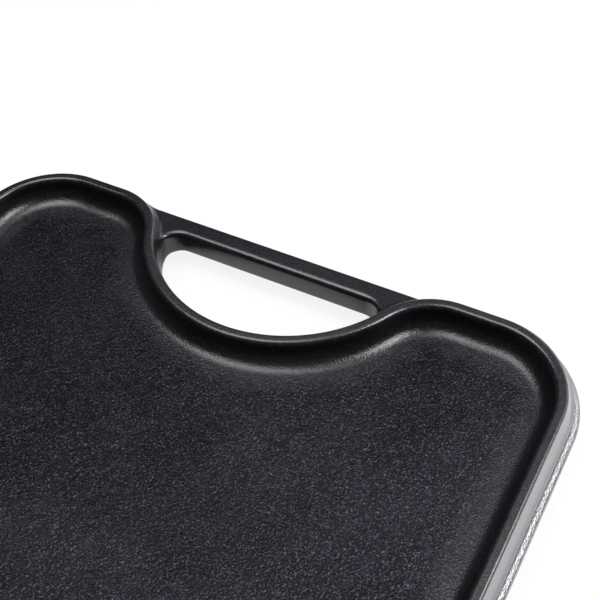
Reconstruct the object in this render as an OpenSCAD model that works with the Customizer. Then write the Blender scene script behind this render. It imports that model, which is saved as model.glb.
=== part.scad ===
// Cast iron griddle plate: a smooth tray on top, ribs below and a hand hole in each end.
// Length runs along X, width along Y, the smooth tray faces +Z.
// The lower rim stands on Z = 0 and the plate's middle is on the Z axis.

/* [Plate] */
// Overall length over the flange, from one handle end to the other
plate_length = 508; // [470:1:560]
// Overall width over the flange
plate_width = 266.7; // [246:0.1:300]
// Overall height, from the lower rim to the upper rim
plate_height = 22; // [20:0.5:26]
// Corner radius at the rim's outer edge
corner_radius = 33.75; // [30:0.25:38]
// Depth of the smooth tray below the upper rim
tray_depth = 10.5; // [9:0.25:12]
// Thickness of the cooking plate
deck_thickness = 4.8; // [4:0.1:5.6]

/* [Rim] */
// Width of the rim's flat edge before it is rounded
rim_width = 4; // [3.4:0.1:6]
// Rounding of the rim's edges
rim_round = 1.4; // [0.8:0.1:1.6]
// Radius of the cove between the tray and its wall
cove_radius = 6.5; // [4:0.25:7]
// Radius of the cove between the ribbed side and its wall
gutter_radius = 3.5; // [2:0.25:4]
// Lean of the inner walls in degrees
inner_draft = 10; // [4:1:16]
// How far the outer wall leans out from the rim to the crease above the flange
wall_flare = 2.6; // [1.4:0.1:3.6]
// How far the flange stands out past that crease
flange_run = 2.5; // [1:0.05:3]
// Height of the flange's upright edge at the parting line
flange_band = 2.8; // [1.6:0.1:3.4]
// Height of the sloping ledge on each side of the flange's edge
ledge_height = 1.2; // [0.8:0.1:1.8]
// How far the wall leans out round the hand holes, where it then drops upright with no flange
hole_flare = 0.8; // [0.6:0.1:1.2]

/* [Hand holes] */
// Distance of each lobe's centre from the plate's long middle line
lobe_offset = 77.28; // [72:0.02:80]
// Radius of the rim where it turns from the end into the scallop
lobe_radius = 28.6; // [26:0.1:32]
// Radius of the scallop round the hand hole
scallop_radius = 58.4; // [55:0.1:63]
// Radius of the hand hole's corners beside the bar
hole_corner = 9; // [7:0.25:10.5]

/* [Handle bars] */
// Width of a handle bar
bar_width = 8.5; // [7:0.1:10]
// Thickness of a handle bar
bar_thickness = 12.2; // [9:0.2:13]
// Drop from the upper rim to the bar's top
bar_drop = 4.9; // [4:0.1:7]
// How far the bar stands out past the rim's outer edge
bar_reach = 0; // [0:0.05:0.3]
// Rounding of the bar's edges
bar_round = 2; // [1:0.25:3]

/* [Grill ribs] */
// Distance between the ribs
rib_pitch = 14; // [11:0.5:18]
// Rib width where it meets the plate
rib_foot = 7; // [5:0.25:8]
// Rib width at its crown
rib_crown = 4; // [2.5:0.25:4.75]
// Rib height
rib_height = 4.6; // [3:0.1:5]
// Width of the gutter between the wall's foot and the ribs
gutter_width = 8; // [5:0.5:12]

/* [Hidden] */
flange = wall_flare + flange_run;
end_x = plate_length / 2 - flange;
side_y = plate_width / 2 - flange;
corner_x = end_x - corner_radius;
corner_y = side_y - corner_radius;
lobe_x = end_x - lobe_radius;
lobe_y = min(lobe_offset, corner_y - 2, 0.96 * (lobe_radius + scallop_radius));
turn_x = sqrt(pow(lobe_radius + scallop_radius, 2) - pow(lobe_y, 2));
scallop_x = lobe_x + turn_x;
middle_z = plate_height / 2;
deck_top = plate_height - tray_depth;
deck_bottom = deck_top - deck_thickness;
split_z = middle_z - flange_band / 2;
band_top = middle_z + flange_band / 2;
crease_z = band_top + ledge_height;
wall_lean = wall_flare / (plate_height - crease_z);
hole_n = max(hole_flare, wall_lean * rim_round + 0.1);
upright_z = plate_height - hole_n / wall_lean;
bar_top = plate_height - bar_drop;
bar_bottom = bar_top - bar_thickness;
bar_inner_x = end_x + bar_reach - bar_width;
turn_r = scallop_radius - hole_n - hole_corner;
hole_x = bar_inner_x - hole_corner;
hole_y = sqrt(pow(turn_r, 2) - pow(scallop_x - hole_x, 2));
lean = tan(inner_draft);
// cove reach along its two edges, for the angle between the plate and the leaning wall
cove_reach = cove_radius * tan(45 - inner_draft / 2);
gutter_reach = gutter_radius * tan(45 - inner_draft / 2);
upper_corner_n = -rim_width - lean * tray_depth;
lower_corner_n = -rim_width - lean * deck_bottom;
foot_n = upper_corner_n - cove_radius - 0.6;
rib_n = foot_n - gutter_width;
far = 150;
sweep_fn = 48;
round_fn = 20;
tight = 0.95;
slack = 0.004;

function unit(v) = v / norm(v);
function flip(s, p) = [s * p[0], p[1]];
function edge_point(k, toward, d) = k + d * unit(toward - k);

// circle over a and b that rounds the corner k, a little tighter than the tangent one
// so that it crosses the edges
module soften(a, k, b) {
    half = acos(unit(a - k) * unit(b - k)) / 2;
    r = tight * norm(a - k) * tan(half);
    m = (a + b) / 2;
    c = m + unit(m - k) * sqrt(r * r - pow(norm(a - b) / 2, 2));
    translate(c) circle(r = r + slack, $fn = round_fn);
}

// section of the wall above the split, with s = 1 for outside to the right
module upper_section(s, flanged) {
    top = plate_height;
    out_low = [wall_flare, crease_z];
    ko = [0, top];
    ki = [-rim_width, top];
    kc = [upper_corner_n, deck_top];
    foot = edge_point(kc, [foot_n, deck_top], cove_reach);
    rise = edge_point(kc, ki, cove_reach);
    o1 = edge_point(ko, out_low, rim_round);
    o2 = edge_point(ko, ki, rim_round);
    i1 = edge_point(ki, ko, rim_round);
    i2 = edge_point(ki, kc, rim_round);
    base = flanged
        ? [[foot_n, split_z], [flange, split_z], [flange, band_top], out_low, [hole_n, upright_z]]
        : [[foot_n, split_z], [hole_n, split_z], [hole_n, upright_z]];
    difference() {
        union() {
            polygon([for (p = concat(base, [o1, o2, i1, i2, rise, foot, [foot_n, deck_top]])) flip(s, p)]);
            soften(flip(s, o1), flip(s, ko), flip(s, o2));
            soften(flip(s, i1), flip(s, ki), flip(s, i2));
        }
        soften(flip(s, foot), flip(s, kc), flip(s, rise));
    }
}

// section of the wall below the split
module lower_section(s, flanged) {
    out_high = [wall_flare, plate_height - crease_z];
    ko = [0, 0];
    ki = [-rim_width, 0];
    kc = [lower_corner_n, deck_bottom];
    foot = edge_point(kc, [foot_n, deck_bottom], gutter_reach);
    rise = edge_point(kc, ki, gutter_reach);
    o1 = edge_point(ko, out_high, rim_round);
    o2 = edge_point(ko, ki, rim_round);
    i1 = edge_point(ki, ko, rim_round);
    i2 = edge_point(ki, kc, rim_round);
    base = flanged
        ? [[foot_n, split_z], [flange, split_z], out_high, [hole_n, plate_height - upright_z]]
        : [[foot_n, split_z], [hole_n, split_z], [hole_n, plate_height - upright_z]];
    difference() {
        union() {
            polygon([for (p = concat(base, [o1, o2, i1, i2, rise, foot, [foot_n, deck_bottom]])) flip(s, p)]);
            soften(flip(s, o1), flip(s, ko), flip(s, o2));
            soften(flip(s, i1), flip(s, ki), flip(s, i2));
        }
        soften(flip(s, foot), flip(s, kc), flip(s, rise));
    }
}

module section(s, flanged, upper) {
    if (upper) upper_section(s, flanged);
    else lower_section(s, flanged);
}

// the part of a turned wall that lies over a plan polygon
module turned(plan, r, s, flanged, upper) {
    intersection() {
        rotate_extrude($fn = sweep_fn) translate([r, 0]) section(s, flanged, upper);
        translate([0, 0, -1]) linear_extrude(plate_height + 2) polygon(plan);
    }
}

// half of the wall round one end
module wall_end(upper) {
    for (s = [1, -1]) {
        translate([corner_x, s * corner_y, 0])
            turned([[0, 0], [far, 0], [far, s * far], [0, s * far]], corner_radius, 1, true, upper);
        translate([end_x, s > 0 ? corner_y : -lobe_y, 0]) rotate([90, 0, 0])
            linear_extrude(corner_y - lobe_y) section(1, true, upper);
        translate([lobe_x, s * lobe_y, 0])
            turned([[0, 0], [far, 0], [far, -s * lobe_y], [turn_x, -s * lobe_y]],
                lobe_radius, 1, false, upper);
    }
    translate([scallop_x, 0, 0])
        turned([[0, 0], [-turn_x, lobe_y], [-far, lobe_y], [-far, -lobe_y], [-turn_x, -lobe_y]],
            scallop_radius, -1, false, upper);
}

// the wall all the way round
module wall(upper) {
    for (turn = [0, 180]) rotate([0, 0, turn]) wall_end(upper);
    for (s = [1, -1]) translate([-corner_x, s * side_y, 0]) rotate([90, 0, 90])
        linear_extrude(2 * corner_x) section(s, true, upper);
}

// plan of the plate, offset outward by n from the rim's outer edge
module plan_outline(n) {
    difference() {
        union() {
            square([2 * corner_x, 2 * (side_y + n)], center = true);
            square([2 * (end_x + n), 2 * corner_y], center = true);
            for (x = [1, -1], y = [1, -1])
                translate([x * corner_x, y * corner_y]) circle(r = corner_radius + n, $fn = sweep_fn);
        }
        for (turn = [0, 180]) rotate([0, 0, turn]) end_bay(n);
    }
}

// what the scallop and the lobes take away from one end of the plan
module end_bay(n) {
    intersection() {
        translate([scallop_x, 0]) circle(r = scallop_radius - n, $fn = sweep_fn);
        translate([scallop_x, 0])
            polygon([[0, 0], [-turn_x, lobe_y], [-far, lobe_y], [-far, -lobe_y], [-turn_x, -lobe_y]]);
    }
    difference() {
        polygon([[scallop_x, 0], [lobe_x, lobe_y], [far + end_x, lobe_y],
            [far + end_x, -lobe_y], [lobe_x, -lobe_y]]);
        for (s = [1, -1]) translate([lobe_x, s * lobe_y]) circle(r = lobe_radius + n, $fn = sweep_fn);
    }
}

// section of a handle bar, inner edge left, with a rounded or a square inner side
module bar_section(length, round_inner) {
    x1 = bar_reach;
    x0 = bar_reach - length;
    r = bar_round;
    left = round_inner
        ? [[x0 + r, bar_top], [x0, bar_top - r], [x0, bar_bottom + r], [x0 + r, bar_bottom]]
        : [[x0, bar_top], [x0, bar_bottom]];
    right = [[x1 - r, bar_bottom], [x1, bar_bottom + r], [x1, bar_top - r], [x1 - r, bar_top]];
    union() {
        polygon(concat(left, right));
        for (z = [[bar_bottom, 1], [bar_top, -1]]) {
            soften([x1 - r, z[0]], [x1, z[0]], [x1, z[0] + z[1] * r]);
            if (round_inner) soften([x0 + r, z[0]], [x0, z[0]], [x0, z[0] + z[1] * r]);
        }
    }
}

// what is cut from the bar's end to round the hand hole's corner
module corner_cut() {
    rotate_extrude($fn = sweep_fn) difference() {
        translate([0, bar_bottom - 1]) square([hole_corner + bar_round, bar_thickness + 2]);
        translate([hole_corner - bar_reach + bar_width, 0]) bar_section(bar_width, true);
    }
}

// solid inside the lobe's outer wall
module lobe_core() {
    rotate_extrude($fn = sweep_fn)
        polygon([[0, 0], [lobe_radius + hole_n, 0], [lobe_radius + hole_n, plate_height], [0, plate_height]]);
}

// the bar's end, from the hand hole's corner into the lobe, for s = 1 or -1
module bar_end(s) {
    difference() {
        difference() {
            translate([end_x, s > 0 ? lobe_y : -hole_y, 0]) rotate([90, 0, 0])
                linear_extrude(lobe_y - hole_y) bar_section(bar_reach + end_x - hole_x, false);
            translate([lobe_x, s * lobe_y, 0]) rotate([0, 0, 180]) lobe_core();
        }
        translate([hole_x, s * hole_y, 0]) rotate([0, 0, 180]) corner_cut();
    }
}

module handle_bar() {
    translate([end_x, hole_y, 0]) rotate([90, 0, 0]) linear_extrude(2 * hole_y) bar_section(bar_width, true);
    for (s = [1, -1]) bar_end(s);
}

module deck_plate() {
    color([0.17, 0.165, 0.18]) translate([0, 0, deck_bottom])
        linear_extrude(deck_thickness) plan_outline(foot_n);
}

module griddle_rim() {
    color([0.13, 0.125, 0.14]) wall(true);
}

module grill_rim() {
    color([0.22, 0.215, 0.23]) wall(false);
}

module grill_ribs() {
    last = floor((end_x + rib_n - rib_foot) / rib_pitch);
    crown_z = deck_bottom - rib_height;
    color([0.25, 0.245, 0.26]) intersection() {
        translate([0, 0, -1]) linear_extrude(plate_height) plan_outline(rib_n);
        for (i = [-last:last]) translate([i * rib_pitch, side_y, 0]) rotate([90, 0, 0])
            linear_extrude(2 * side_y) polygon([
                [-rib_foot / 2, deck_bottom], [-rib_crown / 2, crown_z + 0.7], [0.7 - rib_crown / 2, crown_z],
                [rib_crown / 2 - 0.7, crown_z], [rib_crown / 2, crown_z + 0.7], [rib_foot / 2, deck_bottom]]);
    }
}

module front_handle_bar() {
    color([0.2, 0.195, 0.21]) handle_bar();
}

module rear_handle_bar() {
    color([0.2, 0.195, 0.21]) rotate([0, 0, 180]) handle_bar();
}

deck_plate();
griddle_rim();
grill_rim();
grill_ribs();
front_handle_bar();
rear_handle_bar();
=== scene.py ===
import math

import bmesh
import bpy
import numpy as np
from mathutils import Matrix, Vector
from mathutils.geometry import delaunay_2d_cdt


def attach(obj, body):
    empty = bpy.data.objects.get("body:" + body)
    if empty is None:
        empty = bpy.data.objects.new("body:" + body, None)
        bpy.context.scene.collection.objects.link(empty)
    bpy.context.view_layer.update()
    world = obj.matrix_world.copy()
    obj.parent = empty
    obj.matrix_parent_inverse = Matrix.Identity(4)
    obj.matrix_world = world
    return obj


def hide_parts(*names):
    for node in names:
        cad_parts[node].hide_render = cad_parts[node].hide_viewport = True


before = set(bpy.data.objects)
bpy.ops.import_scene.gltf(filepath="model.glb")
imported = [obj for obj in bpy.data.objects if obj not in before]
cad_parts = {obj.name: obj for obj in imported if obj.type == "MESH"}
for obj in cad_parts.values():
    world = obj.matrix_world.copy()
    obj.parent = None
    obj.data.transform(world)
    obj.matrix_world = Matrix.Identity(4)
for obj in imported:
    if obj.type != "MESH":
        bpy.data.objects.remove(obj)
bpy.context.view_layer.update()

bl_info = {
    "name": "Camp Griddle Plate",
    "version": (1, 0, 0),
    "blender": (4, 5, 0),
    "location": "View3D > Sidebar > Griddle",
    "description": "Dresses a two-handled cast iron griddle plate around its packed frame",
    "category": "Add Mesh",
}

MM = 0.001
BODY = "root"
COOL = (0.96, 0.92, 1.14)
WHITE = (1.0, 1.0, 1.0)

# Casting and ribs, in millimetres
FLANGE_RUN_OUT = math.radians(44)
FAR_INSIDE = -1e3
SMOOTH_SKIN = 0.92
WALL_FOOT = 8.95
RIB_BURIED = 0.8
RIB_ROUNDING = 1.1
RIB_RUN_OUT = 8
RIB_END_RISE = 3.4
SHORTEST_RIB = 12

# Studio, in metres: each softbox has its name, place, target, width, height and colour
SOFTBOXES = (
    ("back", (0.74, 0.10, 0.83), (0.10, 0.0, 0.0), 0.8, 0.8, COOL),
    ("side", (0.42, -0.62, 0.80), (0.20, 0.0, 0.0), 0.6, 0.5, WHITE),
    ("fill", (0.11, 0.26, 0.96), (0.20, 0.0, 0.0), 0.68, 0.62, WHITE),
    ("edge", (1.10, -0.44, 0.44), (0.22, -0.06, 0.0), 1.0, 0.35, WHITE),
)
FLOOR_HALF = 4.0
FLOOR_DROP = 0.0002
CAMERA_PLACE = (0.00249, -0.16565, 0.32112)
CAMERA_BACK = (-0.55601, -0.36054, 0.74891)
CAMERA_RIGHT = (0.47475, -0.87734, -0.06994)
SENSOR_WIDTH = 36.0
HALF_PIXEL = 0.5 / 600


# Properties ---------------------------------------------------------------


def length_prop(name, description, default, low, high):
    return bpy.props.FloatProperty(
        name=name, description=description, default=default * MM, min=low * MM, max=high * MM,
        precision=5, unit="LENGTH", subtype="DISTANCE",
    )


def mask_prop(name, description, default):
    return bpy.props.FloatProperty(name=name, description=description, default=default, min=0.0, max=1.0)


def angle_prop(name, description, degrees):
    return bpy.props.FloatProperty(
        name=name, description=description, default=math.radians(degrees),
        min=0.0, max=math.radians(20), subtype="ANGLE",
    )


def watts_prop(name, description, default):
    return bpy.props.FloatProperty(name=name, description=description, default=default, min=0, unit="POWER")


def colour_prop(name, description, default):
    return bpy.props.FloatVectorProperty(
        name=name, description=description, default=default, size=4, min=0.0, max=1.0, subtype="COLOR",
    )


class PlateSizes(bpy.types.PropertyGroup):
    """Sizes of the casting, as in the part's source, apart from the softer rounding of the rim's inner edge."""

    plate_length: length_prop("Length", "Overall length over the flange", 508, 460, 570)
    plate_width: length_prop("Width", "Overall width over the flange", 266.7, 240, 310)
    plate_height: length_prop("Height", "Overall height", 22, 18, 28)
    corner_radius: length_prop("Corner radius", "Radius of the rim's corners", 33.75, 25, 45)
    tray_depth: length_prop("Tray depth", "Depth of the smooth side", 10.5, 6, 14)
    deck_thickness: length_prop("Plate thickness", "Thickness of the cooking plate", 4.8, 3, 7)
    rim_width: length_prop("Rim width", "Width of the rim before rounding", 4, 3, 7)
    rim_round: length_prop("Rim rounding", "Rounding of the rim's edges", 1.4, 0.5, 1.8)
    rim_ease: length_prop("Rim inner rounding", "Softer rounding of the rim's inner edge", 1.7, 0.5, 3)
    cove_radius: length_prop("Cove", "Radius between the tray and its wall", 6.5, 3, 9)
    gutter_radius: length_prop("Gutter cove", "Radius between the ribbed side and its wall", 3.5, 1.5, 5)
    wall_flare: length_prop("Wall flare", "How far the wall leans out above the flange", 2.6, 1, 4)
    flange_run: length_prop("Flange", "How far the flange stands out past the wall", 2.5, 0.5, 3)
    flange_band: length_prop("Flange edge", "Height of the flange's upright edge", 2.8, 1, 4)
    ledge_height: length_prop("Flange slope", "Height of the slope beside the flange's edge", 1.2, 0.5, 2)
    hole_flare: length_prop("Hole flare", "How far the wall leans out round a hand hole", 0.8, 0.3, 1.5)
    lobe_offset: length_prop("Lobe offset", "Distance of a lobe from the long middle line", 77.28, 65, 90)
    lobe_radius: length_prop("Lobe radius", "Radius where the end turns into the scallop", 28.6, 20, 36)
    scallop_radius: length_prop("Scallop radius", "Radius of the scallop round a hand hole", 58.4, 45, 66)
    inner_draft: angle_prop("Inner draft", "Lean of the inner walls", 10)


class HandleSizes(bpy.types.PropertyGroup):
    """Sizes of the two handle bars, with the softer hole corners and faces of a casting, and of the ribs."""

    bar_width: length_prop("Bar width", "Width of a handle bar", 8.5, 6, 12)
    bar_thickness: length_prop("Bar thickness", "Thickness of a handle bar", 12.2, 8, 14)
    bar_drop: length_prop("Bar drop", "Drop from the rim to the bar's top", 4.9, 3, 8)
    bar_reach: length_prop("Bar reach", "How far the bar stands out past the rim", 0.0, -1, 4)
    bar_belly: length_prop("Bar belly", "Depth below the bar's top where its inner face stands out most",
                           8.95, 4, 11)
    bar_lean: angle_prop("Bar lean", "Lean of the bar's inner face under its top edge", 16)
    bar_round: length_prop("Bar rounding", "Rounding of the bar's edges", 1.8, 1, 4)
    hole_corner: length_prop("Hole corner", "Radius of the hand hole's corners", 8.4, 4, 12)
    hole_half: length_prop("Hole half length", "From the middle of a hand hole to its end", 49.4, 42, 52)
    root_fillet: length_prop("Root fillet", "Fillet between the bar and the wall", 3.4, 1, 5)
    rib_pitch: length_prop("Rib pitch", "Distance between the ribs", 14, 10, 20)
    rib_foot: length_prop("Rib foot", "Rib width at the plate", 7, 4, 9)
    rib_crown: length_prop("Rib crown", "Rib width at its crown", 4, 2, 5)
    rib_height: length_prop("Rib height", "Height of the ribs", 4.6, 3, 5.5)
    gutter_width: length_prop("Gutter width", "Gap between the wall's foot and the ribs", 8, 4, 14)


class IronFinish(bpy.types.PropertyGroup):
    """Colours and surface of the seasoned iron."""

    dark_coat: colour_prop("Dark coat", "Seasoning where it is thick", (0.0019, 0.0018, 0.0023, 1.0))
    pale_coat: colour_prop("Pale coat", "Seasoning where it is thin", (0.0180, 0.0171, 0.0216, 1.0))
    # Pale grain tips, partly bare iron and partly painted glints of light on the grain.
    bare_grain: colour_prop("Bare grain", "Grain tips that catch the light", (0.120, 0.116, 0.139, 1.0))
    # Pale metal of ground flanges and rubbed edges; on the long sides' outer walls it also stands in for bright
    # light, a painted highlight.
    dressed_edge: colour_prop("Dressed edge", "Ground flange and rubbed edges", (0.36, 0.355, 0.367, 1.0))
    grain_size: length_prop("Grain size", "Width of one sand grain in the surface", 0.65, 0.3, 4)
    grain_depth: length_prop("Grain depth", "Depth of the sand grain", 0.34, 0.0, 0.8)
    coat_roughness: mask_prop("Roughness", "Roughness of the seasoning", 0.38)


class StudioSetup(bpy.types.PropertyGroup):
    """Camera and lamps of the plain white studio."""

    lens: bpy.props.FloatProperty(
        name="Lens", description="Focal length", default=63.07, min=20, max=200, unit="CAMERA",
    )
    back_watts: watts_prop("Back", "Softbox beyond the handle, mirrored in the tray", 0.8)
    side_watts: watts_prop("Side", "Softbox beyond the right side", 10.0)
    fill_watts: watts_prop("Fill", "Softbox above, mirrored in the rounded edges", 7.5)
    edge_watts: watts_prop("Edge", "Low softbox that draws the rim's outer edge", 3.5)
    sky_level: mask_prop("Sky", "Even light from all round", 0.05)


# Plan and section of the casting, in millimetres ---------------------------


class Plate:
    """Plain numbers of the casting in millimetres, with the plan and the wall section they give."""

    def __init__(self, sizes, bars):
        for group in (sizes, bars):
            for key in group.__annotations__:
                setattr(self, key, getattr(group, key) / MM)
        self.inner_draft, self.bar_lean = sizes.inner_draft, bars.bar_lean
        self.flange = self.wall_flare + self.flange_run
        self.end_x = self.plate_length / 2 - self.flange
        self.side_y = self.plate_width / 2 - self.flange
        self.corner_x = self.end_x - self.corner_radius
        self.corner_y = self.side_y - self.corner_radius
        self.lobe_x = self.end_x - self.lobe_radius
        self.lobe_y = self.lobe_offset
        reach = self.lobe_radius + self.scallop_radius
        self.scallop_x = self.lobe_x + math.sqrt(reach ** 2 - self.lobe_y ** 2)
        self.lobe_turn = math.acos((self.scallop_x - self.lobe_x) / reach)
        self.middle_z = self.plate_height / 2
        self.deck_top = self.plate_height - self.tray_depth
        self.deck_bottom = self.deck_top - self.deck_thickness
        self.bar_top = self.plate_height - self.bar_drop
        self.bar_middle_z = self.bar_top - self.bar_thickness / 2
        self.bar_middle_x = self.end_x + self.bar_reach - self.bar_width / 2
        self._wall_tables()

    def _wall_tables(self):
        """Reach of the outer wall against the height from its middle, with its creases softened."""
        step, half_height, far = 0.025, 14.0, 20
        bell_half, bell_width = 1.6, 0.42
        u = np.arange(-half_height, half_height + step, step)
        a = np.abs(u)
        band = self.flange_band / 2
        crease = band + self.ledge_height
        self.wall_lean = self.wall_flare / (self.middle_z - crease)
        past = -self.wall_lean * (far - self.middle_z)
        flanged = np.interp(a, [0, band, crease, self.middle_z, far],
                            [self.flange, self.flange, self.wall_flare, 0, past])
        plain = np.minimum(flanged, self.hole_flare)
        bell = np.exp(-0.5 * (np.arange(-bell_half, bell_half + step, step) / bell_width) ** 2)
        bell /= bell.sum()
        self.wall_u = u
        self.wall_flanged = np.convolve(flanged, bell, mode="same")
        self.wall_plain = np.convolve(plain, bell, mode="same")

    def wall_reach(self, z, flanged):
        """How far the outer wall stands out at height z; flanged is 0 round a hole and 1 on the sides."""
        u = np.asarray(z) - self.middle_z
        low = np.interp(u, self.wall_u, self.wall_plain)
        return low + flanged * (np.interp(u, self.wall_u, self.wall_flanged) - low)

    def flange_share(self, turn):
        """The flange runs out along a lobe, from all of it at the end's straight to none at the scallop."""
        t = np.clip(np.asarray(turn) / FLANGE_RUN_OUT, 0, 1)
        return 1 - t * t * (3 - 2 * t)

    def plan_offset(self, x, y):
        """Signed distance outside the rim's outer edge in plan, and the flange's share there."""
        x, y = np.abs(x), np.abs(y)
        side = np.where(x < self.corner_x, y - self.side_y, FAR_INSIDE)
        corner = np.where((x >= self.corner_x) & (y >= self.corner_y),
                          np.hypot(x - self.corner_x, y - self.corner_y) - self.corner_radius, FAR_INSIDE)
        end = np.where((y >= self.lobe_y) & (y < self.corner_y), x - self.end_x, FAR_INSIDE)
        dx, dy = x - self.lobe_x, self.lobe_y - y
        turn = np.arctan2(dy, dx)
        in_lobe = (dy > 0) & (turn <= self.lobe_turn)
        lobe = np.where(in_lobe, np.hypot(dx, dy) - self.lobe_radius, FAR_INSIDE)
        scallop = np.where((dy > 0) & ~in_lobe,
                           self.scallop_radius - np.hypot(x - self.scallop_x, y), FAR_INSIDE)
        n = np.maximum.reduce([side, corner, end, lobe, scallop])
        share = np.where(dy > 0, np.where(in_lobe, self.flange_share(turn), 0.0), 1.0)
        return n, share

    def rim_path(self):
        """Points round the rim's outer edge, counter-clockwise, with outward normals and flange shares."""
        turn = self.lobe_turn
        side_steps, corner_steps, end_steps, lobe_steps, scallop_steps = 64, 32, 7, 24, 64

        def bend(cx, cy, r, a0, a1, steps, hollow=False):
            a = np.linspace(a0, a1, steps, endpoint=False)
            n = np.stack([np.cos(a), np.sin(a)], 1)
            return np.array([cx, cy]) + (-r if hollow else r) * n, n

        def run(p0, p1, n, steps):
            t = np.linspace(0, 1, steps, endpoint=False)[:, None]
            return np.array(p0) * (1 - t) + np.array(p1) * t, np.tile(n, (steps, 1))

        half = [
            (*run((-self.corner_x, -self.side_y), (self.corner_x, -self.side_y), (0.0, -1.0), side_steps), 1.0),
            (*bend(self.corner_x, -self.corner_y, self.corner_radius, -math.pi / 2, 0, corner_steps), 1.0),
            (*run((self.end_x, -self.corner_y), (self.end_x, -self.lobe_y), (1.0, 0.0), end_steps), 1.0),
            (*bend(self.lobe_x, -self.lobe_y, self.lobe_radius, 0, turn, lobe_steps), None),
            (*bend(self.scallop_x, 0, self.scallop_radius, turn, -turn, scallop_steps, hollow=True), 0.0),
            (*bend(self.lobe_x, self.lobe_y, self.lobe_radius, -turn, 0, lobe_steps), None),
            (*run((self.end_x, self.lobe_y), (self.end_x, self.corner_y), (1.0, 0.0), end_steps), 1.0),
            (*bend(self.corner_x, self.corner_y, self.corner_radius, 0, math.pi / 2, corner_steps), 1.0),
        ]
        points = np.concatenate([p for p, _, _ in half])
        normals = np.concatenate([n for _, n, _ in half])
        share = np.concatenate([
            self.flange_share(np.abs(np.arctan2(n[:, 1], n[:, 0]))) if s is None else np.full(len(n), s)
            for _, n, s in half
        ])
        return (np.concatenate([points, -points]), np.concatenate([normals, -normals]),
                np.concatenate([share, share]))

    def wall_section(self):
        """The wall from the tray's cove over the rim and down outside to the gutter's cove.
        Rows are offset, height, whether the offset is the outer wall's, edge rub, dressing and calm grain,
        where the dressing is partly ground iron and partly a painted highlight."""
        lean, draft = self.wall_lean, self.inner_draft
        wall_angle = math.atan(lean)
        r, top = self.rim_round, self.plate_height
        slope = math.tan(draft)
        ease = self.rim_ease
        rim_in = -self.rim_width - slope * ease + ease / math.cos(draft)
        rim_out = lean * r - r / math.cos(wall_angle)
        # The outer wall's dressing is partly ground iron and partly a painted highlight of bright light on the
        # long sides.
        inner_calm, rim_calm, wall_dressed_and_sheen = 0.95, 0.6, 0.9
        rows = []

        def arc(cx, cz, radius, a0, a1, steps, rub=0.0, dressed=(0.0, 0.0), calm=(SMOOTH_SKIN, SMOOTH_SKIN)):
            for i, a in enumerate(np.radians(np.linspace(a0, a1, steps))):
                t = i / (steps - 1)
                early, late = min(1.0, 4 * t), min(1.0, max(0.0, 3 * t - 1.5))
                rows.append((cx + radius * math.cos(a), cz + radius * math.sin(a), 0.0, rub,
                             dressed[0] + (dressed[1] - dressed[0]) * late,
                             calm[0] + (calm[1] - calm[0]) * early))

        draft_deg, wall_deg = math.degrees(draft), math.degrees(wall_angle)
        cove_z = self.deck_top + self.cove_radius
        cove_n = -self.rim_width - slope * (top - cove_z) - self.cove_radius / math.cos(draft)
        arc(cove_n, cove_z, self.cove_radius, -90, -draft_deg, 14, calm=(0.4, 0.74))
        for t in (0.35, 0.7):
            z = rows[-1][1] * (1 - t) + (top - ease) * t
            rows.append((-self.rim_width - slope * (top - z), z, 0.0, 0.0, 0.0, inner_calm))
        arc(rim_in, top - ease, ease, 180 - draft_deg, 90, 9, rub=1.0, calm=(inner_calm, 0.88))
        rows.append(((rim_in + rim_out) / 2, top, 0.0, 0.45, 0.0, rim_calm))
        # The outer rounding takes on the dressing: ground iron, and a painted highlight along the rim's outer
        # edge.
        arc(rim_out, top - r, r, 90, wall_deg, 7, rub=0.8, dressed=(0.0, wall_dressed_and_sheen))
        # Outside, the levels from the wall's middle lie closest together over the flange.
        band, crease = self.flange_band / 2, self.flange_band / 2 + self.ledge_height
        ledge_blend, edge_blend = 0.5, 0.45
        half = [9.0, 8.0, 7.0, 5.8, 4.8, 4.1, 3.6, 3.2, 2.9, 2.6, 2.35, 2.1, 1.85, 1.6, 1.35, 1.1, 0.8, 0.4]
        for u in half + [0.0] + [-v for v in reversed(half)]:
            ledge = min(1.0, max(0.0, (crease + ledge_blend / 2 - abs(u)) / ledge_blend))
            rub = 0.7 * math.exp(-((abs(u) - band) / edge_blend) ** 2)
            # The dressing rises on the flange's ledge: ground iron, and a painted highlight where the ledge
            # catches light.
            rows.append((0.0, self.middle_z + u, 1.0, rub, wall_dressed_and_sheen + 0.1 * ledge,
                         SMOOTH_SKIN - 0.24 * ledge))
        arc(rim_out, r, r, -wall_deg, -90, 7, rub=0.8, dressed=(wall_dressed_and_sheen, 0.0))
        rows.append(((rim_in + rim_out) / 2, 0.0, 0.0, 0.6, 0.0, rim_calm))
        arc(rim_in, ease, ease, -90, draft_deg - 180, 9, rub=0.8)
        gutter_z = self.deck_bottom - self.gutter_radius
        gutter_n = -self.rim_width - slope * gutter_z - self.gutter_radius / math.cos(draft)
        arc(gutter_n, gutter_z, self.gutter_radius, draft_deg, 90, 9, calm=(0.7, 0.0))
        return np.array(rows)


def cast_wave(x, y, z, size, seed):
    """Slow unevenness of a sand casting, within about plus and minus one."""
    rng = np.random.default_rng(seed)
    total = np.zeros_like(x)
    for _ in range(7):
        direction = rng.normal(size=3)
        direction /= np.linalg.norm(direction)
        k = 2 * math.pi / (size * rng.uniform(0.6, 1.7))
        along = x * direction[0] + y * direction[1] + z * direction[2]
        total += np.sin(k * along + rng.uniform(0, 2 * math.pi))
    return total / 4.0


# Meshes ---------------------------------------------------------------------


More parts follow.
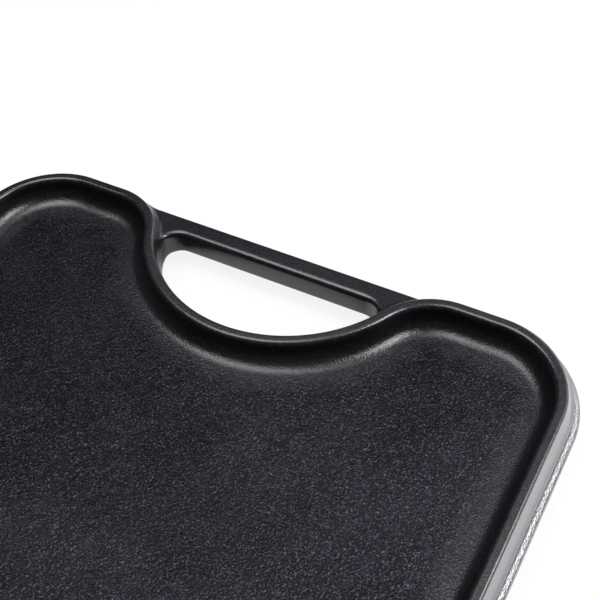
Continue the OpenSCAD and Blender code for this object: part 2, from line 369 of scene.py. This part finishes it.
def new_piece(name, points_mm, faces, masks):
    """A mesh object at the origin from points in millimetres, with outward faces and smooth shading."""
    mesh = bpy.data.meshes.new(name)
    mesh.from_pydata((np.asarray(points_mm) * MM).tolist(), [], [list(map(int, f)) for f in faces])
    for key, values in masks.items():
        mesh.attributes.new(key, "FLOAT", "POINT").data.foreach_set("value", np.asarray(values, np.float32))
    bm = bmesh.new()
    bm.from_mesh(mesh)
    bmesh.ops.recalc_face_normals(bm, faces=bm.faces)
    bm.to_mesh(mesh)
    bm.free()
    mesh.shade_smooth()
    piece = bpy.data.objects.new(name, mesh)
    bpy.context.scene.collection.objects.link(piece)
    return piece


def ring_fill(ring, plate, inset, spacing, first_free):
    """Triangles that fill a closed ring of plan points, with a grid of free points kept clear of it."""
    xs = np.arange(-plate.end_x, plate.end_x + spacing, spacing)
    ys = np.arange(-plate.side_y, plate.side_y + spacing, spacing)
    gx, gy = np.meshgrid(xs, ys)
    gx[::2] += spacing / 2
    n, _ = plate.plan_offset(gx, gy)
    keep = n < inset - 0.7 * spacing
    free = np.stack([gx[keep], gy[keep]], 1)
    coords = [Vector(p) for p in np.concatenate([ring, free])]
    count = len(ring)
    _, _, faces, origin, _, _ = delaunay_2d_cdt(coords, [], [list(range(count))], 1, 1e-7)
    names = [(o[0] if o[0] < count else first_free + o[0] - count) for o in origin]
    return free, [[names[i] for i in f] for f in faces]


def casting_mesh(plate):
    """The plate and its wall as one closed skin, with the slow unevenness of a casting."""
    wall_wave, wall_length, flat_wave, flat_length, flat_edge = 0.10, 60.0, 0.11, 75.0, 40.0
    points, normals, share = plate.rim_path()
    section = plate.wall_section()
    count, rows = len(points), len(section)
    outer = plate.wall_reach(section[None, :, 1], share[:, None])
    n = np.where(section[None, :, 2] > 0.5, outer, section[None, :, 0])
    x = points[:, None, 0] + normals[:, None, 0] * n
    y = points[:, None, 1] + normals[:, None, 1] * n
    z = np.broadcast_to(section[None, :, 1], x.shape)
    verts = np.stack([x, y, z], 2).reshape(-1, 3)
    wave = cast_wave(verts[:, 0], verts[:, 1], verts[:, 2], wall_length, 11).reshape(count, rows)
    from_deck = np.minimum(np.arange(rows), np.arange(rows)[::-1])
    push = wall_wave * np.abs(wave) * np.clip(from_deck / 8, 0, 1)
    grid = verts.reshape(count, rows, 3).copy()
    grid[:, :, :2] -= normals[:, None] * push[:, :, None]
    verts = grid.reshape(-1, 3)
    faces = [(i * rows + j, ((i + 1) % count) * rows + j, ((i + 1) % count) * rows + j + 1, i * rows + j + 1)
             for i in range(count) for j in range(rows - 1)]
    extra, total = [verts], len(verts)
    for row, level, spacing, seed in ((0, plate.deck_top, 7.0, 3), (rows - 1, plate.deck_bottom, 9.0, 5)):
        ring = grid[:, row, :2]
        free, fill = ring_fill(ring, plate, section[row, 0], spacing, count)
        depth = np.clip((section[row, 0] - plate.plan_offset(free[:, 0], free[:, 1])[0]) / flat_edge, 0, 1)
        lift = flat_wave * depth * cast_wave(free[:, 0], free[:, 1], 0 * free[:, 0], flat_length, seed)
        extra.append(np.column_stack([free, level + lift]))
        shift = total - count
        faces += [[i * rows + row if i < count else i + shift for i in f] for f in fill]
        total += len(free)
    verts = np.concatenate(extra)
    loose = len(verts) - count * rows
    rub = np.concatenate([np.tile(section[:, 3], count), np.zeros(loose)])
    # Painted highlight: the pale metal dressing is kept to the long sides, standing in for bright light there,
    # and fades out round the ends; partly ground iron.
    long_side_sheen = np.clip((np.abs(normals[:, 1]) - 0.15) / 0.6, 0, 1) * share
    dressed = np.concatenate([(section[None, :, 4] * long_side_sheen[:, None]).reshape(-1), np.zeros(loose)])
    calm = np.concatenate([np.tile(section[:, 5], count), np.zeros(loose)])
    return verts, faces, {"edge_rub": rub, "dressed": dressed, "calm": calm}


def round_union(a, b, r):
    """Joins two signed distances with a fillet of radius r."""
    return np.maximum(r, np.minimum(a, b)) - np.hypot(np.maximum(r - a, 0), np.maximum(r - b, 0))


def box_distance(a, b):
    """Signed distance to a square corner from the distances to its two sides."""
    return np.hypot(np.maximum(a, 0), np.maximum(b, 0)) + np.minimum(np.maximum(a, b), 0)


def bar_fields(plate, x, y, z):
    """Signed distances of the handle bar and of the wall it grows out of."""
    belly_bend, under_cut, h = 0.45, 0.9, 0.1
    n, share = plate.plan_offset(x, y)
    reach = plate.wall_reach(z, share)
    tilt = (plate.wall_reach(z + h, share) - plate.wall_reach(z - h, share)) / (2 * h)
    wall = (n - reach) / np.sqrt(1 + tilt * tilt)
    down = plate.bar_top - z
    upper = np.clip(down, 0, plate.bar_belly)
    belly = math.tan(plate.bar_lean) * (upper - belly_bend * upper ** 2 / plate.bar_belly)
    belly = belly - under_cut * np.maximum(down - plate.bar_belly, 0)
    along = x - (plate.bar_middle_x - plate.bar_width / 2 - plate.hole_corner) + belly
    across = np.abs(y) - (plate.hole_half - plate.hole_corner)
    hole = box_distance(along, across) - plate.hole_corner
    plan = np.maximum(-hole, x - plate.bar_middle_x - plate.bar_width / 2)
    slab = np.abs(z - plate.bar_middle_z) - plate.bar_thickness / 2
    r = plate.bar_round
    a, b = plan + r, slab + r
    return box_distance(a, b) - r, wall, a, b


def bar_skin(plate, x, y, z):
    """Below zero inside the bar and its fillets, down to a little under the wall's own surface."""
    shrink, sunk, spread = 0.03, 1.4, 1.05
    bar, wall, _, _ = bar_fields(plate, x, y, z)
    joined = round_union(bar, wall, plate.root_fillet) + shrink
    return np.maximum.reduce([joined, -wall - sunk, bar - plate.root_fillet * spread])


def surface_net(field, axes):
    """Quads on the zero level of a sampled field."""
    gx, gy, gz = axes
    inside = field < 0
    corners = [(i, j, k) for i in (0, 1) for j in (0, 1) for k in (0, 1)]
    shape = tuple(s - 1 for s in field.shape)

    def at(array, c):
        return array[c[0]:c[0] + shape[0], c[1]:c[1] + shape[1], c[2]:c[2] + shape[2]]

    count = sum(at(inside, c).astype(np.int8) for c in corners)
    mixed = (count > 0) & (count < 8)
    total, hits = np.zeros(shape + (3,)), np.zeros(shape)
    for axis in range(3):
        for c in corners:
            if c[axis]:
                continue
            d = tuple(v + (1 if i == axis else 0) for i, v in enumerate(c))
            f0, f1 = at(field, c), at(field, d)
            cross = (f0 < 0) != (f1 < 0)
            t = np.where(cross, f0 / np.where(cross, f0 - f1, 1.0), 0.0)
            for i in range(3):
                total[..., i] += np.where(cross, c[i] + (t if i == axis else 0.0), 0.0)
            hits += cross
    cells = np.argwhere(mixed)
    local = total[mixed] / hits[mixed][:, None]
    step = np.array([gx[1] - gx[0], gy[1] - gy[0], gz[1] - gz[0]])
    verts = np.array([gx[0], gy[0], gz[0]]) + (cells + local) * step
    index = np.full(shape, -1)
    index[mixed] = np.arange(len(cells))
    faces = []
    for axis in range(3):
        u, v = [i for i in range(3) if i != axis]
        lo = [slice(None)] * 3
        hi = [slice(None)] * 3
        lo[axis], hi[axis] = slice(0, -1), slice(1, None)
        change = inside[tuple(lo)] != inside[tuple(hi)]
        for e in np.argwhere(change):
            if e[u] == 0 or e[v] == 0 or e[u] >= shape[u] or e[v] >= shape[v]:
                continue
            quad = []
            for du, dv in ((-1, -1), (0, -1), (0, 0), (-1, 0)):
                c = e.copy()
                c[u] += du
                c[v] += dv
                quad.append(index[tuple(c)])
            if min(quad) >= 0:
                faces.append(quad)
    return verts, np.array(faces)


def settle(verts, faces, field, step):
    """Evens out the net and puts every point back on the field's zero level."""
    edges = np.concatenate([faces[:, [i, (i + 1) % 4]] for i in range(4)])
    pairs = np.concatenate([edges, edges[:, ::-1]])
    h = 0.02

    def onto(p):
        for _ in range(3):
            f = field(*p.T)
            g = np.stack([field(*(p + d).T) - field(*(p - d).T) for d in h * np.eye(3)], 1) / (2 * h)
            size = np.maximum((g * g).sum(1), 0.2)
            move = g * (f / size)[:, None]
            length = np.linalg.norm(move, axis=1)
            p = p - move * np.minimum(1, 0.6 * step / np.maximum(length, 1e-9))[:, None]
        return p

    for _ in range(4):
        total, hits = np.zeros_like(verts), np.zeros(len(verts))
        np.add.at(total, pairs[:, 0], verts[pairs[:, 1]])
        np.add.at(hits, pairs[:, 0], 1)
        verts = onto(0.5 * verts + 0.5 * total / hits[:, None])
    return verts


def bar_mesh(plate):
    """One handle bar with its fillets, for the end at positive X."""
    step, inward, outward, half_y, half_z = 0.8, 26, 7, 84, 11
    gx = np.arange(plate.end_x - inward, plate.end_x + outward, step)
    gy = np.arange(-half_y, half_y + step, step)
    gz = np.arange(plate.bar_middle_z - half_z, plate.bar_middle_z + half_z + step, step)
    x, y, z = np.meshgrid(gx, gy, gz, indexing="ij")
    verts, faces = surface_net(bar_skin(plate, x, y, z), (gx, gy, gz))
    verts = settle(verts, faces, lambda a, b, c: bar_skin(plate, a, b, c), step)
    _, wall, a, b = bar_fields(plate, *verts.T)
    rub = np.clip(np.minimum(a, b) / plate.bar_round, 0, 1) * np.clip(wall / 3.0, 0, 1) * 1.2
    rub = np.clip(rub, 0, 1)
    calm = 0.94 - 0.4 * np.clip((b - a) / 1.5, 0, 1) * (1 - rub)
    return verts, faces, {"edge_rub": rub, "dressed": 0 * rub, "calm": calm}


def rib_lines(plate):
    """Centre lines of the ribs as x and both ends in y, cut where the scallops reach into them."""
    inset = -plate.rim_width - WALL_FOOT - plate.gutter_width
    last = int((plate.end_x + inset - plate.rib_foot) // plate.rib_pitch)
    lines = []
    for i in range(-last, last + 1):
        x = i * plate.rib_pitch
        y = np.arange(-plate.side_y, plate.side_y, 0.25)
        flanks = [plate.plan_offset(x + side * plate.rib_foot / 2 + 0 * y, y)[0] for side in (-1, 1)]
        clear = np.maximum(*flanks) < inset
        starts = np.flatnonzero(clear[1:] & ~clear[:-1]) + 1
        ends = np.flatnonzero(clear[:-1] & ~clear[1:])
        lines += [(x, y[a], y[b]) for a, b in zip(starts, ends) if y[b] - y[a] > SHORTEST_RIB]
    return lines


def rib_stations(y0, y1):
    """Points along a rib, closest together where its ends run out."""
    near_end = np.array([0, 1.5, 3, 5, RIB_RUN_OUT])
    middle = np.linspace(y0 + 14, y1 - 14, 9) if y1 - y0 > 40 else []
    return np.unique(np.round(np.concatenate([y0 + near_end, middle, y1 - near_end[::-1]]), 3))


# Node trees -----------------------------------------------------------------


class Tree:
    """Short hand for building a node tree."""

    def __init__(self, tree):
        self.tree = tree

    def add(self, kind, **values):
        node = self.tree.nodes.new(kind)
        for key, value in values.items():
            setattr(node, key, value)
        return node

    def link(self, source, target):
        self.tree.links.new(source, target)

    def math(self, operation, a, b=None, clamp=False):
        node = self.add("ShaderNodeMath", operation=operation, use_clamp=clamp)
        for socket, value in zip(node.inputs, (a, b)):
            if value is None:
                continue
            if isinstance(value, (int, float)):
                socket.default_value = value
            else:
                self.link(value, socket)
        return node.outputs[0]

    def mix(self, fac, a, b):
        node = self.add("ShaderNodeMix", data_type="RGBA")
        for socket, value in ((node.inputs[0], fac), (node.inputs[6], a), (node.inputs[7], b)):
            if hasattr(value, "node"):
                self.link(value, socket)
            else:
                socket.default_value = value
        return node.outputs[2]

    def noise(self, vector, scale, detail, roughness):
        node = self.add("ShaderNodeTexNoise")
        self.link(vector, node.inputs["Vector"])
        node.inputs["Scale"].default_value = scale
        node.inputs["Detail"].default_value = detail
        node.inputs["Roughness"].default_value = roughness
        return node.outputs[0]

    def ramp(self, value, low, high):
        node = self.add("ShaderNodeMapRange", interpolation_type="SMOOTHSTEP", clamp=True)
        self.link(value, node.inputs["Value"])
        node.inputs["From Min"].default_value = low
        node.inputs["From Max"].default_value = high
        return node.outputs["Result"]


def new_group(name, inputs, outputs):
    """A shader group with its sockets, and the sockets of its input and output nodes."""
    group = bpy.data.node_groups.new(name, "ShaderNodeTree")
    for kind, label, value in inputs:
        socket = group.interface.new_socket(name=label, in_out="INPUT", socket_type=kind)
        if value is not None:
            socket.default_value = value
    for kind, label in outputs:
        group.interface.new_socket(name=label, in_out="OUTPUT", socket_type=kind)
    tree = Tree(group)
    return tree, tree.add("NodeGroupInput").outputs, tree.add("NodeGroupOutput").inputs


def sand_grain_group():
    """Height of a sand cast surface, and its bright tips, which are partly bare iron and partly painted glints.
    """
    group = bpy.data.node_groups.get("Sand grain")
    if group:
        return group
    tree, given, out = new_group(
        "Sand grain",
        [("NodeSocketVector", "Place", None), ("NodeSocketFloat", "Grains per metre", 950.0)],
        [("NodeSocketFloat", "Height"), ("NodeSocketFloat", "Tips")],
    )
    scaled = tree.add("ShaderNodeVectorMath", operation="SCALE")
    tree.link(given["Place"], scaled.inputs[0])
    tree.link(given["Grains per metre"], scaled.inputs["Scale"])
    place = scaled.outputs[0]
    fine = tree.noise(place, 1.0, 3.0, 0.6)
    pits = tree.add("ShaderNodeTexVoronoi", feature="SMOOTH_F1")
    tree.link(place, pits.inputs["Vector"])
    pits.inputs["Scale"].default_value = 0.8
    pits.inputs["Smoothness"].default_value = 0.35
    clumps = tree.noise(place, 0.16, 2.0, 0.55)
    sunk = tree.math("MULTIPLY", pits.outputs["Distance"], -0.55)
    height = tree.math("ADD", tree.math("MULTIPLY", fine, 0.9), sunk)
    height = tree.math("ADD", height, tree.math("MULTIPLY", clumps, 0.8))
    # Painted glints: sparse grain tips, paler than the coat, partly bare iron.
    bare_and_glint_tips = tree.math("MULTIPLY", tree.ramp(fine, 0.48, 0.80), tree.ramp(clumps, 0.10, 0.50))
    tree.link(height, out["Height"])
    tree.link(bare_and_glint_tips, out["Tips"])
    return tree.tree


def seasoning_group():
    """Colour, roughness and bare share of the baked-on coat, thin on rubbed edges and dressed bands; the
    dressed bands' pale metal is partly ground iron and partly a painted highlight.
    Open grain counts as bare, so that its colour alone sets how much light it gives back."""
    group = bpy.data.node_groups.get("Seasoning")
    if group:
        return group
    tree, given, out = new_group(
        "Seasoning",
        [("NodeSocketVector", "Place", None), ("NodeSocketFloat", "Tips", 0.0),
         ("NodeSocketFloat", "Edge rub", 0.0), ("NodeSocketFloat", "Dressed", 0.0),
         ("NodeSocketFloat", "Calm", 0.0),
         ("NodeSocketColor", "Dark coat", None), ("NodeSocketColor", "Pale coat", None),
         ("NodeSocketColor", "Bare grain", None), ("NodeSocketColor", "Dressed edge", None),
         ("NodeSocketFloat", "Coat roughness", 0.5)],
        [("NodeSocketColor", "Color"), ("NodeSocketFloat", "Roughness"), ("NodeSocketFloat", "Bare")],
    )
    patches = tree.ramp(tree.noise(given["Place"], 16.0, 4.0, 0.6), 0.34, 0.66)
    streaks = tree.noise(given["Place"], 60.0, 3.0, 0.6)
    open_grain = tree.math("SUBTRACT", 1.0, given["Calm"], clamp=True)
    thin = tree.math("ADD", tree.math("MULTIPLY", tree.math("MULTIPLY", patches, streaks), 0.9), 0.5)
    thin = tree.math("MULTIPLY", thin, open_grain)
    coat = tree.mix(thin, given["Dark coat"], given["Pale coat"])
    # Grain tips turn to the pale colour: painted glints, partly bare iron; calm skin has none.
    coat = tree.mix(tree.math("MULTIPLY", given["Tips"], open_grain), coat, given["Bare grain"])
    scuff = tree.ramp(tree.noise(given["Place"], 420.0, 3.0, 0.7), 0.42, 0.68)
    bared = tree.math("ADD", tree.math("MULTIPLY", scuff, 0.03), 0.01)
    worn = tree.math("MULTIPLY", given["Edge rub"], bared)
    rough_spots = tree.math("MULTIPLY", tree.math("SUBTRACT", 1.0, scuff), open_grain)
    # The dressed share turns the coat to pale metal: partly ground iron, partly a painted highlight.
    ground_and_sheen = tree.math("SUBTRACT", 1.0, tree.math("MULTIPLY", rough_spots, 0.25))
    ground_and_sheen = tree.math("MULTIPLY", given["Dressed"], ground_and_sheen)
    worn = tree.math("MAXIMUM", worn, ground_and_sheen)
    tree.link(tree.math("MAXIMUM", ground_and_sheen, open_grain), out["Bare"])
    tree.link(tree.mix(worn, coat, given["Dressed edge"]), out["Color"])
    uneven = tree.math("MULTIPLY", tree.math("SUBTRACT", patches, 0.5), 0.10)
    rough = tree.math("ADD", given["Coat roughness"], uneven)
    rough = tree.math("SUBTRACT", rough, tree.math("MULTIPLY", given["Calm"], 0.13), clamp=True)
    tree.link(rough, out["Roughness"])
    return tree.tree


def iron_material(name, finish, grain_scale=1.0, depth_scale=1.0):
    """Black seasoned, sand cast iron, with masks for rubbed, dressed and calm places from the mesh; the dressed
    mask also carries a painted highlight.
    """
    mean_height, calming, sheen = 0.63, 0.97, 0.8
    material = bpy.data.materials.get(name)
    if material:
        return material
    material = bpy.data.materials.new(name)
    material.use_nodes = True
    nodes = Tree(material.node_tree)
    shader = material.node_tree.nodes["Principled BSDF"]
    place = nodes.add("ShaderNodeTexCoord").outputs["Object"]
    rub, dressed, calm = [nodes.add("ShaderNodeAttribute", attribute_name=key).outputs["Fac"]
                          for key in ("edge_rub", "dressed", "calm")]
    grain = nodes.add("ShaderNodeGroup", node_tree=sand_grain_group())
    nodes.link(place, grain.inputs["Place"])
    grain.inputs["Grains per metre"].default_value = grain_scale / finish.grain_size
    skin = nodes.add("ShaderNodeGroup", node_tree=seasoning_group())
    nodes.link(place, skin.inputs["Place"])
    nodes.link(grain.outputs["Tips"], skin.inputs["Tips"])
    nodes.link(rub, skin.inputs["Edge rub"])
    nodes.link(dressed, skin.inputs["Dressed"])
    nodes.link(calm, skin.inputs["Calm"])
    for label in ("Dark coat", "Pale coat", "Bare grain", "Dressed edge", "Coat roughness"):
        skin.inputs[label].default_value = getattr(finish, label.lower().replace(" ", "_"))
    bump = nodes.add("ShaderNodeBump")
    bump.inputs["Strength"].default_value = 1.0
    bump.inputs["Distance"].default_value = finish.grain_depth * depth_scale
    stand = nodes.math("SUBTRACT", 1.0, nodes.math("MULTIPLY", calm, calming))
    level = nodes.math("SUBTRACT", grain.outputs["Height"], mean_height)
    nodes.link(nodes.math("MULTIPLY", level, stand), bump.inputs["Height"])
    nodes.link(skin.outputs["Color"], shader.inputs["Base Color"])
    nodes.link(skin.outputs["Roughness"], shader.inputs["Roughness"])
    nodes.link(skin.outputs["Bare"], shader.inputs["Metallic"])
    nodes.link(bump.outputs["Normal"], shader.inputs["Normal"])
    shader.inputs["Specular IOR Level"].default_value = sheen
    return material


def rib_tree(material):
    """Geometry nodes that lay a rounded trapezoid rib along every line of the input mesh.
    The lines are the first input, because a modifier passes its mesh there."""
    tree = bpy.data.node_groups.new("Grill ribs", "GeometryNodeTree")
    tree.interface.new_socket(name="Lines", in_out="INPUT", socket_type="NodeSocketGeometry")
    for label in ("Foot", "Crown", "Height", "Rounding"):
        socket = tree.interface.new_socket(name=label, in_out="INPUT", socket_type="NodeSocketFloat")
        socket.subtype = "DISTANCE"
    tree.interface.new_socket(name="Ribs", in_out="OUTPUT", socket_type="NodeSocketGeometry")
    nodes = Tree(tree)
    given = nodes.add("NodeGroupInput").outputs
    shape = nodes.add("GeometryNodeCurvePrimitiveQuadrilateral", mode="TRAPEZOID")
    nodes.link(given["Foot"], shape.inputs["Bottom Width"])
    nodes.link(given["Crown"], shape.inputs["Top Width"])
    nodes.link(given["Height"], shape.inputs["Height"])
    shape.inputs["Offset"].default_value = 0.0
    soft = nodes.add("GeometryNodeFilletCurve")
    nodes.link(shape.outputs[0], soft.inputs[0])
    soft.mode = "POLY"
    soft.inputs["Count"].default_value = 4
    nodes.link(given["Rounding"], soft.inputs["Radius"])
    path = nodes.add("GeometryNodeMeshToCurve")
    nodes.link(given["Lines"], path.inputs[0])
    upright = nodes.add("GeometryNodeSetCurveNormal")
    nodes.link(path.outputs[0], upright.inputs[0])
    upright.mode = "Z_UP"
    sweep = nodes.add("GeometryNodeCurveToMesh")
    nodes.link(upright.outputs[0], sweep.inputs["Curve"])
    nodes.link(soft.outputs[0], sweep.inputs["Profile Curve"])
    sweep.inputs["Fill Caps"].default_value = True
    paint = nodes.add("GeometryNodeSetMaterial")
    paint.inputs["Material"].default_value = material
    nodes.link(sweep.outputs[0], paint.inputs[0])
    nodes.link(paint.outputs[0], nodes.add("NodeGroupOutput").inputs["Ribs"])
    return tree


# Operators --------------------------------------------------------------------


def plate_of(context):
    return Plate(context.scene.griddle_plate, context.scene.griddle_handles)


def settle_piece(piece, material, *nodes):
    """Gives a finished piece its iron and its body, and hides the solids that it stands for."""
    if material is not None:
        piece.data.materials.clear()
        piece.data.materials.append(material)
    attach(piece, BODY)
    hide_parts(*nodes)


class GRIDDLE_OT_casting(bpy.types.Operator):
    """Build the cooking plate, the wall and both rims as one skin"""

    bl_idname = "griddle.casting"
    bl_label = "Build plate and rim"

    def execute(self, context):
        verts, faces, masks = casting_mesh(plate_of(context))
        piece = new_piece("casting", verts, faces, masks)
        settle_piece(piece, iron_material("seasoned_iron_tray", context.scene.griddle_finish),
                     "deck_plate", "griddle_rim", "grill_rim")
        return {"FINISHED"}


class GRIDDLE_OT_handles(bpy.types.Operator):
    """Build the two handle bars with the fillets that join them to the wall"""

    bl_idname = "griddle.handles"
    bl_label = "Build handle bars"

    def execute(self, context):
        verts, faces, masks = bar_mesh(plate_of(context))
        material = iron_material("seasoned_iron_bars", context.scene.griddle_finish, 1.15, 0.6)
        for name, side in (("front_bar", 1), ("rear_bar", -1)):
            turned = verts * np.array([side, side, 1])
            piece = new_piece(name, turned, faces, masks)
            settle_piece(piece, material, name.replace("_bar", "_handle_bar"))
        return {"FINISHED"}


class GRIDDLE_OT_ribs(bpy.types.Operator):
    """Build the grill ribs on the underside"""

    bl_idname = "griddle.ribs"
    bl_label = "Build grill ribs"

    def execute(self, context):
        plate = plate_of(context)
        bars = context.scene.griddle_handles
        middle = plate.deck_bottom - plate.rib_height / 2 + RIB_BURIED / 2
        verts, edges = [], []
        for x, y0, y1 in rib_lines(plate):
            ys = rib_stations(y0, y1)
            gap = np.minimum(ys - y0, y1 - ys)
            rise = RIB_END_RISE * np.clip(1 - gap / RIB_RUN_OUT, 0, 1) ** 2
            first = len(verts)
            verts += [(x * MM, y * MM, (middle + h) * MM) for y, h in zip(ys, rise)]
            edges += [(first + i, first + i + 1) for i in range(len(ys) - 1)]
        mesh = bpy.data.meshes.new("rib_lines")
        mesh.from_pydata(verts, edges, [])
        lines = bpy.data.objects.new("rib_lines", mesh)
        context.scene.collection.objects.link(lines)
        material = iron_material("seasoned_iron_ribs", context.scene.griddle_finish, 1.0, 0.9)
        tree = rib_tree(material)
        modifier = lines.modifiers.new("Ribs", "NODES")
        modifier.node_group = tree
        sizes = {"Foot": bars.rib_foot, "Crown": bars.rib_crown,
                 "Height": bars.rib_height + RIB_BURIED * MM, "Rounding": RIB_ROUNDING * MM}
        for item in tree.interface.items_tree:
            if item.name in sizes:
                modifier[item.identifier] = sizes[item.name]
        graph = context.evaluated_depsgraph_get()
        ribs_mesh = bpy.data.meshes.new_from_object(lines.evaluated_get(graph))
        bpy.data.objects.remove(lines)
        if not ribs_mesh.polygons:
            self.report({"ERROR"}, "The rib nodes made no faces")
            return {"CANCELLED"}
        ribs_mesh.name = "ribs"
        bm = bmesh.new()
        bm.from_mesh(ribs_mesh)
        bmesh.ops.remove_doubles(bm, verts=bm.verts, dist=1e-6)
        bmesh.ops.recalc_face_normals(bm, faces=bm.faces)
        bm.to_mesh(ribs_mesh)
        bm.free()
        ribs_mesh.shade_smooth()
        piece = bpy.data.objects.new("ribs", ribs_mesh)
        context.scene.collection.objects.link(piece)
        settle_piece(piece, None, "grill_ribs")
        return {"FINISHED"}


def white_share(nodes):
    """How white the floor is to the camera, and less so in gloss, which keeps more of its shadow."""
    path = nodes.add("ShaderNodeLightPath").outputs
    seen = nodes.math("MAXIMUM", path["Is Camera Ray"], path["Is Transmission Ray"])
    direct, mirrored = nodes.math("MULTIPLY", seen, 0.86), nodes.math("MULTIPLY", path["Is Glossy Ray"], 0.25)
    return nodes.math("MAXIMUM", direct, mirrored)


def studio_floor(context):
    """A white floor just under the plate, clear from below."""
    mesh = bpy.data.meshes.new("floor")
    corners = [(x * FLOOR_HALF, y * FLOOR_HALF, 0) for x, y in ((-1, -1), (1, -1), (1, 1), (-1, 1))]
    mesh.from_pydata(corners, [], [(0, 1, 2, 3)])
    floor = bpy.data.objects.new("floor", mesh)
    floor.location.z = -FLOOR_DROP
    context.scene.collection.objects.link(floor)
    material = bpy.data.materials.new("white_floor")
    material.use_nodes = True
    tree = material.node_tree
    tree.nodes.clear()
    nodes = Tree(tree)
    paper = nodes.add("ShaderNodeBsdfDiffuse")
    paper.inputs["Color"].default_value = (0.82, 0.82, 0.82, 1)
    glow = nodes.add("ShaderNodeEmission")
    glow.inputs["Strength"].default_value = 1.0
    seen = white_share(nodes)
    clear = nodes.add("ShaderNodeBsdfTransparent")
    lit = nodes.add("ShaderNodeMixShader")
    nodes.link(seen, lit.inputs[0])
    nodes.link(paper.outputs[0], lit.inputs[1])
    nodes.link(glow.outputs[0], lit.inputs[2])
    shown = nodes.add("ShaderNodeMixShader")
    nodes.link(nodes.add("ShaderNodeNewGeometry").outputs["Backfacing"], shown.inputs[0])
    nodes.link(lit.outputs[0], shown.inputs[1])
    nodes.link(clear.outputs[0], shown.inputs[2])
    nodes.link(shown.outputs[0], nodes.add("ShaderNodeOutputMaterial").inputs["Surface"])
    mesh.materials.append(material)


def studio_world(context, level):
    """A sky that is white to the camera and lights the plate evenly at a low level."""
    world = bpy.data.worlds.new("studio")
    context.scene.world = world
    world.use_nodes = True
    tree = world.node_tree
    tree.nodes.clear()
    nodes = Tree(tree)
    sky = nodes.add("ShaderNodeBackground")
    path = nodes.add("ShaderNodeLightPath").outputs
    seen = nodes.math("MAXIMUM", path["Is Camera Ray"], path["Is Transmission Ray"])
    strength = nodes.math("ADD", nodes.math("MULTIPLY", seen, 1.0 - level), level)
    nodes.link(strength, sky.inputs["Strength"])
    nodes.link(nodes.mix(seen, (*COOL, 1.0), (*WHITE, 1.0)), sky.inputs["Color"])
    nodes.link(sky.outputs[0], nodes.add("ShaderNodeOutputWorld").inputs["Surface"])


def softbox(context, name, place, target, width, height, colour, watts):
    """An area lamp at a place, turned to its target."""
    lamp = bpy.data.lights.new(name, "AREA")
    lamp.shape = "RECTANGLE"
    lamp.size, lamp.size_y, lamp.energy, lamp.color = width, height, watts, colour
    box = bpy.data.objects.new(name, lamp)
    context.scene.collection.objects.link(box)
    box.location = place
    box.rotation_euler = (Vector(target) - Vector(place)).to_track_quat("-Z", "Y").to_euler()


class GRIDDLE_OT_stage(bpy.types.Operator):
    """Set up the white floor, the lamps and the camera at the photograph's view"""

    bl_idname = "griddle.stage"
    bl_label = "Set up studio"

    def execute(self, context):
        setup = context.scene.griddle_studio
        studio_floor(context)
        studio_world(context, setup.sky_level)
        for name, *layout in SOFTBOXES:
            softbox(context, name, *layout, getattr(setup, name + "_watts"))
        data = bpy.data.cameras.new("camera")
        data.sensor_width = SENSOR_WIDTH
        data.lens = setup.lens
        data.shift_x, data.shift_y = -HALF_PIXEL, HALF_PIXEL
        camera = bpy.data.objects.new("camera", data)
        context.scene.collection.objects.link(camera)
        back = Vector(CAMERA_BACK).normalized()
        right = Vector(CAMERA_RIGHT)
        right = (right - back * right.dot(back)).normalized()
        up = back.cross(right)
        turn = Matrix((right, up, back)).transposed()
        camera.matrix_world = Matrix.Translation(CAMERA_PLACE) @ turn.to_4x4()
        context.scene.camera = camera
        context.scene.view_settings.view_transform = "Standard"
        return {"FINISHED"}


class GRIDDLE_PT_panel(bpy.types.Panel):
    """Lists the steps that build the griddle plate"""

    bl_idname = "GRIDDLE_PT_panel"
    bl_label = "Camp Griddle Plate"
    bl_space_type = "VIEW_3D"
    bl_region_type = "UI"
    bl_category = "Griddle"

    def draw(self, context):
        layout = self.layout
        for step in STEPS:
            layout.operator(step.bl_idname)
        for key in GROUPS:
            box = layout.box()
            group = getattr(context.scene, key)
            for name in group.__annotations__:
                box.prop(group, name)


STEPS = (GRIDDLE_OT_casting, GRIDDLE_OT_handles, GRIDDLE_OT_ribs, GRIDDLE_OT_stage)
GROUPS = {
    "griddle_plate": PlateSizes,
    "griddle_handles": HandleSizes,
    "griddle_finish": IronFinish,
    "griddle_studio": StudioSetup,
}


def register():
    for cls in (*GROUPS.values(), *STEPS, GRIDDLE_PT_panel):
        bpy.utils.register_class(cls)
    for key, group in GROUPS.items():
        setattr(bpy.types.Scene, key, bpy.props.PointerProperty(type=group))


def unregister():
    for key in GROUPS:
        delattr(bpy.types.Scene, key)
    for cls in (GRIDDLE_PT_panel, *reversed(STEPS), *reversed(list(GROUPS.values()))):
        bpy.utils.unregister_class(cls)


def main():
    register()
    bpy.ops.griddle.casting()
    bpy.ops.griddle.handles()
    bpy.ops.griddle.ribs()
    bpy.ops.griddle.stage()


if __name__ == "__main__":
    main()
